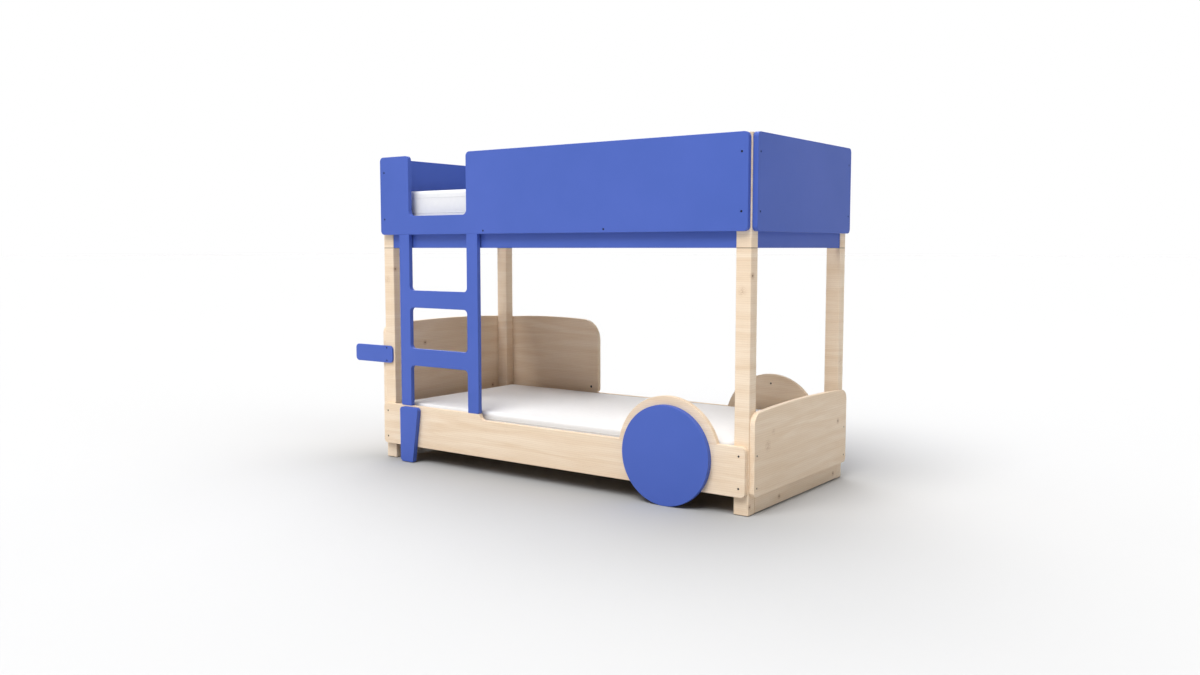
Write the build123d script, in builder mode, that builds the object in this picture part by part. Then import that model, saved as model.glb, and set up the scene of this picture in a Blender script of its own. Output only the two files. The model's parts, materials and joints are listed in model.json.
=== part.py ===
from build123d import *
import os

# A child's bunk bed shaped like a caravan. The head end is at -X, the foot end at +X, the ladder
# side faces -Y and +Z is up. The origin lies on the floor, in the middle of the outer box.
# "Along" means millimetres from the head end on the long sides, and from the front on the two ends.

# Mattresses, which set the size of the frame
mattress_length = 2000.0
mattress_width = 896.0
mattress_thickness = 150.0
mattress_crown = 5.0
mattress_draw_in = 3.0
mattress_corner = 45.0
mattress_edge = 16.0
mattress_lift = 0.3
mattress_end_gap = 15.0
mattress_side_gap = 2.0

# Posts
post_width = 70.0
post_depth = 58.0
post_edge = 4.0
post_end_chamfer = 1.0
post_seam = 1112.0
post_top_drop = 2.0
glide_height = 3.0
glide_radius = 18.0

# Boards laid over the outer faces of the posts
board_thickness = 24.0
board_inset = 5.0
board_corner = 22.0
board_edge = 2.0

# Lower bed
lower_board_bottom = 81.0
lower_rail_height = 213.0
rail_dip_depth = 29.0
rail_dip_from_ladder = 4.0
foot_panel_height = 365.0
head_panel_height = 638.0
end_panel_rise = 14.0
end_panel_corner = 50.0
plinth_gap = 5.0
plinth_height = 120.0
plinth_thickness = 22.0

# Guard on the back of the lower bed
guard_width = 699.0
guard_height = 420.0
guard_corner = 115.0

# Wheels, their arches and the support leg
wheel_radius = 220.0
wheel_along = 1786.0
wheel_thickness = 26.0
arch_border = 37.0
leg_along = 154.0
leg_top_width = 131.0
leg_bottom_width = 89.0
leg_gap = 3.0
leg_below_rail = 5.0
leg_corner = 18.0
leg_toe_corner = 6.0

# Tow arm
arm_reach = 224.0
arm_overlap = 60.0
arm_height = 90.0
arm_bottom = 506.0
arm_thickness = 10.0

# Ladder
ladder_along = 141.0
ladder_opening = 401.0
upright_width = 72.0
rung_height = 88.0
rung_rise = 300.0
rung_corner = 22.0
upright_foot_corner = 8.0

# Upper bed
upper_panel_lift = 68.0
upper_panel_height = 400.0
entrance_height = 95.0
entrance_corner = 25.0
upper_rail_height = 150.0
upper_rail_thickness = 20.0
upper_rail_setback = 4.0

# Slatted bases
slat_count = 15
slat_width = 70.0
slat_thickness = 18.0
slat_end_gap = 2.0
bearer_width = 25.0
bearer_height = 40.0
bearer_end_gap = 2.0
lower_bearer_lift = 12.0
upper_bearer_lift = 84.0
strap_width = 20.0
strap_thickness = 1.5
strap_inset = 140.0

# Screws that hold the boards
screw_radius = 2.5
screw_head_radius = 4.5
screw_head_height = 3.0
screw_sink = 1.5
screw_bite = 34.0
screw_socket = 1.8
screw_socket_depth = 1.5
bore_play = 0.1
recess_play = 0.5
upper_screw_inset = 80.0
lower_screw_low = 37.0
lower_screw_high = 173.0
panel_rail_screw_lift = 15.0
panel_rail_screw_count = 2
guard_screw_inset = 90.0
arm_screw_along = 17.0
arm_screw_inset = 11.0
wheel_screw_from_rim = 10.5
wheel_screw_spread = 150.0
wheel_screw_bite = 17.0
leg_screw_spread = 80.0

# Bolts and barrel nuts of the upper rails
bolt_radius = 4.0
bolt_head_radius = 7.0
bolt_head_height = 5.0
bolt_sink = 1.0
bolt_past_nut = 12.0
bolt_lift = 103.0
bolt_spacing = 25.0
nut_radius = 5.0
nut_length = 16.0
nut_inset = 30.0
nut_slot_width = 1.2
nut_slot_depth = 1.0

# Stud and round lock between the guard and the back rail
stud_radius = 3.0
stud_bite = 35.0
lock_from_edge = 50.0
lock_lift = 31.0
lock_radius = 7.5
lock_length = 18.0

# Pins between the posts and dowels between butted boards
pin_radius = 6.0
pin_length = 80.0
dowel_radius = 5.0
dowel_length = 60.0
arch_dowel_spread = 170.0
guard_dowel_inset = 200.0
pin_end_play = 1.0

# Places worked out from the sizes above
rail_inner = upper_rail_setback + upper_rail_thickness
frame_length = mattress_length + 2 * (post_width + mattress_end_gap)
frame_depth = mattress_width + 2 * (rail_inner + mattress_side_gap)
half_length = frame_length / 2
half_depth = frame_depth / 2
frame_x = (arm_reach - board_thickness) / 2
head_x = frame_x - half_length
upper_panel_bottom = post_seam + upper_panel_lift
upper_panel_top = upper_panel_bottom + upper_panel_height
lower_rail_top = lower_board_bottom + lower_rail_height
rail_dip = lower_rail_top - rail_dip_depth
ladder_end = ladder_along + ladder_opening + 2 * upright_width
entrance_start = ladder_along + upright_width
entrance_end = entrance_start + ladder_opening
dip_start = ladder_end + rail_dip_from_ladder
arch_radius = wheel_radius + arch_border
rung_tops = [lower_rail_top + rung_rise * step for step in (1, 2)]
screw_seat = screw_sink + screw_head_height
board_screw_length = board_thickness + screw_bite
panel_rail_screw_length = board_thickness + upper_rail_setback + upper_rail_thickness - 2 * screw_sink
arm_screw_length = arm_thickness + screw_bite
bolt_low = post_seam + bolt_lift
bolt_high = bolt_low + bolt_spacing
outward = {"front": (0, -1, 0), "back": (0, 1, 0), "head": (-1, 0, 0), "foot": (1, 0, 0)}


def stand(side, out, along, height, facing=1):
    """Upright plane at a point on one side of the frame. Its z points away from the bed, or into
    the bed where facing is -1, its y points up, and out counts from the posts' outer faces."""
    nx, ny, _ = outward[side]
    if ny:
        origin = (head_x + along, ny * (half_depth + out), height)
    else:
        origin = (frame_x + nx * (half_length + out), along - half_depth, height)
    return Plane(origin=origin, x_dir=(-ny * facing, nx * facing, 0), z_dir=(nx * facing, ny * facing, 0))


def side_plane(side, out=0.0):
    """Upright plane over the middle of one side, at floor height, with its x to the viewer's right."""
    middle = half_length if side in ("front", "back") else half_depth
    return stand(side, out, middle, 0)


def to_right(side, along):
    """Sketch x on a side plane of a point that lies this far along."""
    middle = half_length if side in ("front", "back") else half_depth
    return (along - middle) * (1 if side in ("front", "foot") else -1)


def spots(side, out, points, facing=1):
    """Locations of fasteners, which run into the bed where facing is 1."""
    return [stand(side, out, along, height, facing).location for along, height in points]


def at_posts(side, heights):
    """Points over the middle of both posts on one side."""
    if side in ("front", "back"):
        ends = (post_width / 2, frame_length - post_width / 2)
    else:
        ends = (post_depth / 2, frame_depth - post_depth / 2)
    return [(along, height) for along in ends for height in heights]


def save(builder, name):
    """Label a finished piece and write it out."""
    builder.part.label = name
    export_step(builder.part, f"parts/{name}.step")


def soften(builder, radius):
    """Round the edges of a board's two broad faces."""
    broad = builder.faces().filter_by(GeomType.PLANE).sort_by(SortBy.AREA)[-2:]
    fillet(broad.edges(), radius=radius)


def screw_holes(locations, length):
    """Sunk holes for screws whose heads face out of the locations."""
    with Locations(*locations):
        CounterBoreHole(
            radius=screw_radius + bore_play,
            counter_bore_radius=screw_head_radius + recess_play,
            counter_bore_depth=screw_seat,
            depth=length + pin_end_play,
        )


def pilot_holes(locations, length):
    """Plain holes where the same screws bite."""
    with Locations(*locations):
        Hole(radius=screw_radius + bore_play, depth=length + pin_end_play)


def make_screw(length):
    """A flat-headed screw with a six-sided socket. It runs down from the board's face at z = 0."""
    with BuildPart() as screw:
        with BuildSketch(Plane.XY.offset(-screw_sink)):
            Circle(screw_head_radius)
        extrude(amount=-screw_head_height)
        with BuildSketch(Plane.XY.offset(-screw_seat)):
            Circle(screw_radius)
        extrude(amount=screw_seat - length)
        with BuildSketch(Plane.XY.offset(-screw_sink)):
            RegularPolygon(screw_socket, 6)
        extrude(amount=-screw_socket_depth, mode=Mode.SUBTRACT)
    return screw.part


def make_bolt(length):
    """A bed bolt whose head is sunk under the panel."""
    with BuildPart() as bolt:
        with BuildSketch(Plane.XY.offset(-bolt_sink)):
            Circle(bolt_head_radius)
        extrude(amount=-bolt_head_height)
        with BuildSketch(Plane.XY.offset(-bolt_sink - bolt_head_height)):
            Circle(bolt_radius)
        extrude(amount=bolt_sink + bolt_head_height - length)
    return bolt.part


def make_barrel(radius, length, sink, rod_radius):
    """A slotted round nut, sunk under the board's face at z = 0, with a cross hole along x."""
    with BuildPart() as barrel:
        with BuildSketch(Plane.XY.offset(-sink)):
            Circle(radius)
        extrude(amount=-length)
        with BuildSketch(Plane.XY.offset(-sink)):
            Rectangle(2 * radius, nut_slot_width)
        extrude(amount=-nut_slot_depth, mode=Mode.SUBTRACT)
        with BuildSketch(Plane.YZ.offset(-2 * radius)):
            with Locations((0, -sink - length / 2)):
                Circle(rod_radius + bore_play)
        extrude(amount=4 * radius, mode=Mode.SUBTRACT)
    return barrel.part


def make_group(piece, locations):
    """One group of equal separate solids."""
    with BuildPart() as group:
        with Locations(*locations):
            add(piece)
    return group


def round_rod(radius, low, high, places):
    """Equal upright rods at the given x, y places."""
    with BuildPart() as rods:
        with BuildSketch(Plane.XY.offset(low)):
            with Locations(*places):
                Circle(radius)
        extrude(amount=high - low)
        chamfer(rods.edges().filter_by(GeomType.CIRCLE), length=radius / 6)
    return rods


def rod_bores(radius, low, high, places):
    """Upright bores for such rods, a little longer than them."""
    with Locations(*[(x, y, high + pin_end_play) for x, y in places]):
        Hole(radius=radius + bore_play, depth=high - low + 2 * pin_end_play)


# Fasteners: where each set stands
panel_heights = [upper_panel_bottom + upper_screw_inset, upper_panel_top - upper_screw_inset]
lower_heights = [lower_board_bottom + lower_screw_low, lower_board_bottom + lower_screw_high]
guard_heights = [lower_rail_top + guard_screw_inset, lower_rail_top + guard_height - guard_screw_inset]
arm_heights = [arm_bottom + arm_screw_inset, arm_bottom + arm_height - arm_screw_inset]
panel_length = frame_length - 2 * board_inset
rail_screw_step = panel_length / (panel_rail_screw_count + 1)
rail_screw_points = [
    (board_inset + rail_screw_step * (i + 1), upper_panel_bottom + panel_rail_screw_lift)
    for i in range(panel_rail_screw_count)
]
upper_screws = {side: spots(side, board_thickness, at_posts(side, panel_heights)) for side in outward}
lower_screws = {side: spots(side, board_thickness, at_posts(side, lower_heights)) for side in outward}
rail_screws = {side: spots(side, board_thickness, rail_screw_points) for side in ("front", "back")}
guard_screws = spots("back", board_thickness, [(post_width / 2, height) for height in guard_heights])
arm_screws = spots("front", arm_thickness, [(arm_screw_along, height) for height in arm_heights])
wheel_points = [
    (wheel_along, 2 * wheel_radius - wheel_screw_from_rim),
    (wheel_along - wheel_screw_spread, wheel_radius),
    (wheel_along + wheel_screw_spread, wheel_radius),
]
wheel_screws = {side: spots(side, 0, wheel_points, facing=-1) for side in ("front", "back")}
leg_middle = lower_rail_top - leg_below_rail - leg_screw_spread
leg_screws = spots(
    "front", 0, [(leg_along + leg_bottom_width / 2, leg_middle + rise) for rise in (0, leg_screw_spread / 2)],
    facing=-1,
)
wheel_screw_length = board_thickness + wheel_screw_bite
bolt_row = half_depth - upper_rail_setback - upper_rail_thickness / 2
end_bolt_row = half_length - upper_rail_setback - upper_rail_thickness / 2
long_bolts = [
    spot for side in ("head", "foot")
    for spot in spots(side, 0, [(half_depth - bolt_row, bolt_low), (half_depth + bolt_row, bolt_low)])
]
end_bolts = [
    spot for side in ("front", "back")
    for spot in spots(side, 0, [(half_length - end_bolt_row, bolt_high), (half_length + end_bolt_row, bolt_high)])
]
long_bolt_length = post_width + nut_inset + bolt_past_nut
end_bolt_length = post_depth + nut_inset + bolt_past_nut
nut_sink = (upper_rail_thickness - nut_length) / 2
long_nut_points = [(end, bolt_low) for end in (post_width + nut_inset, frame_length - post_width - nut_inset)]
end_nut_points = [(end, bolt_high) for end in (post_depth + nut_inset, frame_depth - post_depth - nut_inset)]
long_nuts = {side: spots(side, -rail_inner, long_nut_points, facing=-1) for side in ("front", "back")}
end_nuts = {side: spots(side, -rail_inner, end_nut_points, facing=-1) for side in ("head", "foot")}
corner_places = {
    (end, face): (
        frame_x + end_sign * (half_length - post_width / 2),
        face_sign * (half_depth - post_depth / 2),
    )
    for end, end_sign in (("head", -1), ("foot", 1))
    for face, face_sign in (("front", -1), ("back", 1))
}
pin_bottom = post_seam - pin_length / 2
pin_top = post_seam + pin_length / 2
board_row = half_depth + board_thickness / 2
ladder_places = [
    (head_x + ladder_along + upright_width / 2, -board_row),
    (head_x + ladder_end - upright_width / 2, -board_row),
]
dip_end = wheel_along
front_arch_dowels = {
    rail_dip: [(head_x + wheel_along - arch_dowel_spread, -board_row)],
    lower_rail_top: [(head_x + wheel_along + arch_dowel_spread, -board_row)],
}
back_arch_places = [
    (head_x + wheel_along - arch_dowel_spread, board_row),
    (head_x + wheel_along + arch_dowel_spread, board_row),
]
guard_end = board_inset + guard_width
guard_places = [(head_x + board_inset + guard_dowel_inset, board_row)]
stud_place = (head_x + guard_end - lock_from_edge, board_row)
lock_height = lower_rail_top + lock_lift
stud_bottom = lower_rail_top - stud_bite
stud_top = lock_height + stud_radius
lock_sink = (board_thickness - lock_length) / 2
lock_spot = spots("back", 0, [(guard_end - lock_from_edge, lock_height)], facing=-1)


def make_post(place, low, high):
    """A square-cut post with softened edges, still without its holes."""
    with BuildPart() as post:
        with BuildSketch(Plane.XY.offset(low)):
            with Locations(place):
                Rectangle(post_width, post_depth)
        extrude(amount=high - low)
        fillet(post.edges().filter_by(Axis.Z), radius=post_edge)
        ends = post.edges().group_by(Axis.Z)
        chamfer(ends[0] + ends[-1], length=post_end_chamfer)
    return post.part


def make_lower_post(end, face):
    """A lower post with the holes of the boards around it and of the pin on its top."""
    with BuildPart() as post:
        add(make_post(corner_places[end, face], glide_height, post_seam))
        for side in (end, face):
            pilot_holes(lower_screws[side], board_screw_length)
        if (end, face) == ("head", "back"):
            pilot_holes(guard_screws, board_screw_length)
        if (end, face) == ("head", "front"):
            pilot_holes(arm_screws, arm_screw_length)
        rod_bores(pin_radius, pin_bottom, pin_top, [corner_places[end, face]])
    return post


def make_upper_post(end, face):
    """An upper post with the holes of the panels, of the rail bolts and of the pin."""
    with BuildPart() as post:
        add(make_post(corner_places[end, face], post_seam, upper_panel_top - post_top_drop))
        for side in (end, face):
            pilot_holes(upper_screws[side], board_screw_length)
        for bolts, length in ((long_bolts, long_bolt_length), (end_bolts, end_bolt_length)):
            with Locations(*bolts):
                CounterBoreHole(
                    radius=bolt_radius + bore_play,
                    counter_bore_radius=bolt_head_radius + recess_play,
                    counter_bore_depth=bolt_sink + bolt_head_height,
                    depth=length,
                )
        rod_bores(pin_radius, pin_bottom, pin_top, [corner_places[end, face]])
    return post


def make_glide():
    """A round plastic glide under each post."""
    with BuildPart() as glides:
        with BuildSketch():
            with Locations(*corner_places.values()):
                Circle(glide_radius)
        extrude(amount=glide_height)
    return glides


def make_plain_board(side, thickness, start, end, bottom, top, corner):
    """A rectangular board with round corners, laid over the posts on one side."""
    with BuildPart() as board:
        with BuildSketch(side_plane(side, thickness)):
            with Locations(((to_right(side, start) + to_right(side, end)) / 2, (bottom + top) / 2)):
                RectangleRounded(end - start, top - bottom, corner)
        extrude(amount=-thickness)
        soften(board, board_edge)
    return board.part


def make_arched_board(side, start, end, bottom, top, start_corner, end_corner):
    """A board whose top edge is a shallow arch. The corner radii are those at its two top ends."""
    left, right = sorted((to_right(side, start), to_right(side, end)))
    shoulder = top - end_panel_rise
    with BuildPart() as board:
        with BuildSketch(side_plane(side, board_thickness)):
            with BuildLine():
                Polyline((left, shoulder), (left, bottom), (right, bottom), (right, shoulder))
                ThreePointArc((right, shoulder), ((left + right) / 2, top), (left, shoulder))
            make_face()
            fillet(vertices().group_by(Axis.Y)[0], radius=board_corner)
            for u, radius in ((to_right(side, start), start_corner), (to_right(side, end), end_corner)):
                fillet(vertices().sort_by_distance((u, shoulder))[0], radius=radius)
        extrude(amount=-board_thickness)
        soften(board, board_edge)
    return board.part


def rail_outline():
    """Outline of the lower front rail: its top edge is high under the ladder, drops in a cove,
    and rises in another cove behind the wheel."""
    start = to_right("front", board_inset)
    end = to_right("front", frame_length - board_inset)
    drop = to_right("front", dip_start)
    rise = to_right("front", dip_end)
    cove = rail_dip_depth
    with BuildSketch() as outline:
        with BuildLine():
            Polyline(
                (drop, lower_rail_top), (start, lower_rail_top), (start, lower_board_bottom),
                (end, lower_board_bottom), (end, lower_rail_top), (rise, lower_rail_top),
            )
            RadiusArc((rise, lower_rail_top), (rise - cove, rail_dip), cove)
            Line((rise - cove, rail_dip), (drop + cove, rail_dip))
            RadiusArc((drop + cove, rail_dip), (drop, lower_rail_top), cove)
        make_face()
        outer = [(end, height) for end in (start, end) for height in (lower_board_bottom, lower_rail_top)]
        fillet([vertices().sort_by_distance(corner)[0] for corner in outer], radius=board_corner)
    return outline.sketch


def make_slats(length, bottom, name):
    """Evenly spaced slats over the length of a mattress."""
    pitch = (mattress_length - slat_width) / (slat_count - 1)
    with BuildPart() as slats:
        with BuildSketch(Plane.XY.offset(bottom)):
            with Locations((frame_x, 0)):
                with GridLocations(pitch, 1, slat_count, 1):
                    RectangleRounded(slat_width, length, board_edge)
        extrude(amount=slat_thickness)
    save(slats, name)


def make_straps(bottom, name):
    """Two webbing straps that hold the slats apart, laid over them."""
    with BuildPart() as straps:
        with BuildSketch(Plane.XY.offset(bottom)):
            with Locations((frame_x, 0)):
                with GridLocations(1, mattress_width - 2 * strap_inset, 1, 2):
                    Rectangle(mattress_length, strap_width)
        extrude(amount=strap_thickness)
    save(straps, name)


def make_bearer(side, inside, bottom, name):
    """A ledger along the inner face of a rail, between the posts, for the ends of the slats."""
    with BuildPart() as bearer:
        with BuildSketch(side_plane(side, -inside)):
            with Locations((0, bottom + bearer_height / 2)):
                Rectangle(frame_length - 2 * post_width - 2 * bearer_end_gap, bearer_height)
        extrude(amount=-bearer_width)
        chamfer(bearer.edges().filter_by(Axis.X), length=board_edge)
    save(bearer, name)


def make_mattress(bottom, name):
    """A foam mattress: slightly drawn-in sides, round corners and edges, and a crowned top."""
    length = mattress_length / 2
    width = mattress_width / 2
    shoulder = mattress_thickness
    with BuildPart() as mattress:
        with BuildSketch(Plane.XY.offset(bottom)) as plan:
            with BuildLine():
                ThreePointArc((-length, -width), (0, mattress_draw_in - width), (length, -width))
                ThreePointArc((length, -width), (length - mattress_draw_in, 0), (length, width))
                ThreePointArc((length, width), (0, width - mattress_draw_in), (-length, width))
                ThreePointArc((-length, width), (mattress_draw_in - length, 0), (-length, -width))
            make_face()
            fillet(plan.vertices(), radius=mattress_corner)
        extrude(amount=shoulder + mattress_crown)
        for plane, half in ((Plane.YZ, width), (Plane.XZ, length)):
            with BuildSketch(plane.offset(-2 * length)):
                with BuildLine():
                    Polyline(
                        (-half, bottom + shoulder), (-half, bottom), (half, bottom), (half, bottom + shoulder)
                    )
                    ThreePointArc(
                        (half, bottom + shoulder),
                        (0, bottom + shoulder + mattress_crown),
                        (-half, bottom + shoulder),
                    )
                make_face()
            extrude(amount=4 * length, mode=Mode.INTERSECT)
        fillet(mattress.edges().group_by(Axis.Z)[0], radius=mattress_edge)
    return mattress


os.makedirs("parts", exist_ok=True)

# Posts, their glides and the pins between the lower and the upper ones
for end, face in corner_places:
    save(make_lower_post(end, face), f"lower_post_{face}_{end}")
    save(make_upper_post(end, face), f"upper_post_{face}_{end}")
save(make_glide(), "post_glides")
save(round_rod(pin_radius, pin_bottom, pin_top, list(corner_places.values())), "post_pins")

# Plinths between the posts at both ends, down to the floor
for end in ("head", "foot"):
    with BuildPart() as plinth:
        with BuildSketch(side_plane(end)):
            with Locations((0, plinth_gap + plinth_height / 2)):
                Rectangle(frame_depth - 2 * post_depth, plinth_height)
        extrude(amount=-plinth_thickness)
        chamfer(plinth.edges().filter_by(Axis.Y), length=board_edge / 2)
    save(plinth, f"plinth_{end}")

# Lower front rail
with BuildPart() as lower_front_rail:
    with BuildSketch(side_plane("front", board_thickness)):
        add(rail_outline())
    extrude(amount=-board_thickness)
    soften(lower_front_rail, board_edge)
    screw_holes(lower_screws["front"], board_screw_length)
    screw_holes(wheel_screws["front"], wheel_screw_length)
    screw_holes(leg_screws, wheel_screw_length)
    rod_bores(dowel_radius, lower_rail_top - dowel_length / 2, lower_rail_top, ladder_places)
    for seam, places in front_arch_dowels.items():
        rod_bores(dowel_radius, seam - dowel_length / 2, seam + dowel_length / 2, places)
save(lower_front_rail, "lower_front_rail")

# Lower back rail, straight along its top
with BuildPart() as lower_back_rail:
    add(make_plain_board(
        "back", board_thickness, board_inset, frame_length - board_inset,
        lower_board_bottom, lower_rail_top, board_corner,
    ))
    screw_holes(lower_screws["back"], board_screw_length)
    screw_holes(wheel_screws["back"], wheel_screw_length)
    rod_bores(dowel_radius, lower_rail_top - dowel_length / 2, lower_rail_top, back_arch_places + guard_places)
    rod_bores(stud_radius, stud_bottom, stud_top, [stud_place])
save(lower_back_rail, "lower_back_rail")

# Wheel arches: segments of a disc around the wheel, standing on the rails
with BuildPart() as front_wheel_arch:
    with BuildSketch(side_plane("front", board_thickness)):
        with Locations((to_right("front", wheel_along), wheel_radius)):
            Circle(arch_radius)
        with Locations((to_right("front", wheel_along), rail_dip)):
            Rectangle(2 * arch_radius, arch_radius * 2, align=(Align.CENTER, Align.MIN), mode=Mode.INTERSECT)
        add(rail_outline(), mode=Mode.SUBTRACT)
    extrude(amount=-board_thickness)
    soften(front_wheel_arch, board_edge)
    screw_holes(wheel_screws["front"], wheel_screw_length)
    for seam, places in front_arch_dowels.items():
        rod_bores(dowel_radius, seam - dowel_length / 2, seam + dowel_length / 2, places)
save(front_wheel_arch, "front_wheel_arch")

with BuildPart() as back_wheel_arch:
    with BuildSketch(side_plane("back", board_thickness)):
        with Locations((to_right("back", wheel_along), wheel_radius)):
            Circle(arch_radius)
        with Locations((to_right("back", wheel_along), lower_rail_top)):
            Rectangle(2 * arch_radius, arch_radius * 2, align=(Align.CENTER, Align.MIN), mode=Mode.INTERSECT)
    extrude(amount=-board_thickness)
    soften(back_wheel_arch, board_edge)
    screw_holes(wheel_screws["back"], wheel_screw_length)
    rod_bores(dowel_radius, lower_rail_top, lower_rail_top + dowel_length / 2, back_arch_places)
save(back_wheel_arch, "back_wheel_arch")

# Wheels: round boards on the outer faces of the rails and arches, standing on the floor
for side in ("front", "back"):
    with BuildPart() as wheel:
        with BuildSketch(side_plane(side, board_thickness + wheel_thickness)):
            with Locations((to_right(side, wheel_along), wheel_radius)):
                Circle(wheel_radius)
        extrude(amount=-wheel_thickness)
        soften(wheel, board_edge)
        pilot_holes(wheel_screws[side], wheel_screw_length)
    save(wheel, f"{side}_wheel")

# Support leg on the front rail: upright on its left, slanted on its right
with BuildPart() as support_leg:
    leg_left = to_right("front", leg_along)
    leg_top = lower_rail_top - leg_below_rail
    with BuildSketch(side_plane("front", board_thickness + wheel_thickness)):
        with BuildLine():
            Polyline(
                (leg_left, leg_gap), (leg_left + leg_bottom_width, leg_gap),
                (leg_left + leg_top_width, leg_top), (leg_left, leg_top), close=True,
            )
        make_face()
        toe = vertices().sort_by_distance((leg_left + leg_bottom_width, leg_gap))
        fillet(toe[1:], radius=leg_corner)
        fillet(
            vertices().sort_by_distance((leg_left + leg_bottom_width, leg_gap))[0], radius=leg_toe_corner
        )
    extrude(amount=-wheel_thickness)
    soften(support_leg, board_edge)
    pilot_holes(leg_screws, wheel_screw_length)
save(support_leg, "support_leg")

# Tow arm on the front of the front post at the head end
with BuildPart() as tow_arm:
    add(make_plain_board(
        "front", arm_thickness, -arm_reach, arm_overlap, arm_bottom, arm_bottom + arm_height, board_corner
    ))
    screw_holes(arm_screws, arm_screw_length)
save(tow_arm, "tow_arm")

# Arched boards of the lower bed: foot, head and the guard at the back of the head end
for end, height in (("foot", foot_panel_height), ("head", head_panel_height)):
    with BuildPart() as end_panel:
        add(make_arched_board(
            end, board_inset, frame_depth - board_inset, lower_board_bottom,
            lower_board_bottom + height, end_panel_corner, end_panel_corner,
        ))
        screw_holes(lower_screws[end], board_screw_length)
    save(end_panel, f"lower_{end}_panel")

with BuildPart() as back_guard:
    add(make_arched_board(
        "back", board_inset, guard_end, lower_rail_top, lower_rail_top + guard_height,
        end_panel_corner, guard_corner,
    ))
    screw_holes(guard_screws, board_screw_length)
    rod_bores(dowel_radius, lower_rail_top, lower_rail_top + dowel_length / 2, guard_places)
    rod_bores(stud_radius, stud_bottom, stud_top, [stud_place])
    with Locations(*lock_spot):
        Hole(radius=lock_radius + bore_play, depth=lock_sink + lock_length + pin_end_play)
save(back_guard, "back_guard")

# Ladder: one flat board with two rungs, in line with the front panel above it
with BuildPart() as ladder:
    inner_left = to_right("front", entrance_start)
    inner_right = to_right("front", entrance_end)
    middle = (inner_left + inner_right) / 2
    with BuildSketch(side_plane("front", board_thickness)):
        with Locations((middle, (lower_rail_top + upper_panel_bottom) / 2)):
            Rectangle(ladder_end - ladder_along, upper_panel_bottom - lower_rail_top)
        fillet(vertices().group_by(Axis.Y)[0], radius=upright_foot_corner)
        floors = [lower_rail_top - rung_height] + rung_tops
        ceilings = [top - rung_height for top in rung_tops] + [upper_panel_bottom + rung_height]
        for floor, ceiling in zip(floors, ceilings):
            with Locations((middle, (floor + ceiling) / 2)):
                RectangleRounded(ladder_opening, ceiling - floor, rung_corner, mode=Mode.SUBTRACT)
    extrude(amount=-board_thickness)
    soften(ladder, board_edge)
    rod_bores(dowel_radius, lower_rail_top, lower_rail_top + dowel_length / 2, ladder_places)
    rod_bores(dowel_radius, upper_panel_bottom - dowel_length / 2, upper_panel_bottom, ladder_places)
save(ladder, "ladder")

# Upper rails, set back a little from the posts' outer faces and butted between the posts
for side in outward:
    if side in ("front", "back"):
        rail_length = frame_length - 2 * post_width
        bolts, bolt_length, nuts = long_bolts, long_bolt_length, long_nuts
    else:
        rail_length = frame_depth - 2 * post_depth
        bolts, bolt_length, nuts = end_bolts, end_bolt_length, end_nuts
    with BuildPart() as upper_rail:
        with BuildSketch(side_plane(side, -upper_rail_setback)):
            with Locations((0, post_seam + upper_rail_height / 2)):
                Rectangle(rail_length, upper_rail_height)
        extrude(amount=-upper_rail_thickness)
        run = Axis.X if side in ("front", "back") else Axis.Y
        chamfer(upper_rail.edges().filter_by(run), length=board_edge / 2)
        if side in rail_screws:
            pilot_holes(rail_screws[side], panel_rail_screw_length)
        with Locations(*bolts):
            Hole(radius=bolt_radius + bore_play, depth=bolt_length + pin_end_play)
        with Locations(*nuts[side]):
            Hole(radius=nut_radius + bore_play, depth=nut_sink + nut_length + pin_end_play)
    save(upper_rail, f"upper_{side}_rail")

# Upper front panel: one board with an ear at the head end, a low entrance and a long guard
with BuildPart() as upper_front_panel:
    entrance_sill = upper_panel_bottom + entrance_height
    with BuildSketch(side_plane("front", board_thickness)):
        with Locations((0, (upper_panel_bottom + upper_panel_top) / 2)):
            Rectangle(panel_length, upper_panel_height)
        with Locations((to_right("front", (entrance_start + entrance_end) / 2), entrance_sill)):
            Rectangle(
                ladder_opening, 2 * upper_panel_height, align=(Align.CENTER, Align.MIN), mode=Mode.SUBTRACT
            )
        sill = [(to_right("front", along), entrance_sill) for along in (entrance_start, entrance_end)]
        fillet([vertices().sort_by_distance(corner)[0] for corner in sill], radius=entrance_corner)
        for level in (upper_panel_bottom, upper_panel_top):
            fillet(vertices().filter_by(lambda v: abs(v.Y - level) < board_edge), radius=board_corner)
    extrude(amount=-board_thickness)
    soften(upper_front_panel, board_edge)
    screw_holes(upper_screws["front"], board_screw_length)
    screw_holes(rail_screws["front"], panel_rail_screw_length)
    rod_bores(dowel_radius, upper_panel_bottom, upper_panel_bottom + dowel_length / 2, ladder_places)
save(upper_front_panel, "upper_front_panel")

# The other three panels of the upper bed
for side in ("back", "head", "foot"):
    run = frame_length if side == "back" else frame_depth
    with BuildPart() as upper_panel:
        add(make_plain_board(
            side, board_thickness, board_inset, run - board_inset,
            upper_panel_bottom, upper_panel_top, board_corner,
        ))
        screw_holes(upper_screws[side], board_screw_length)
        if side in rail_screws:
            screw_holes(rail_screws[side], panel_rail_screw_length)
    save(upper_panel, f"upper_{side}_panel")

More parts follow.
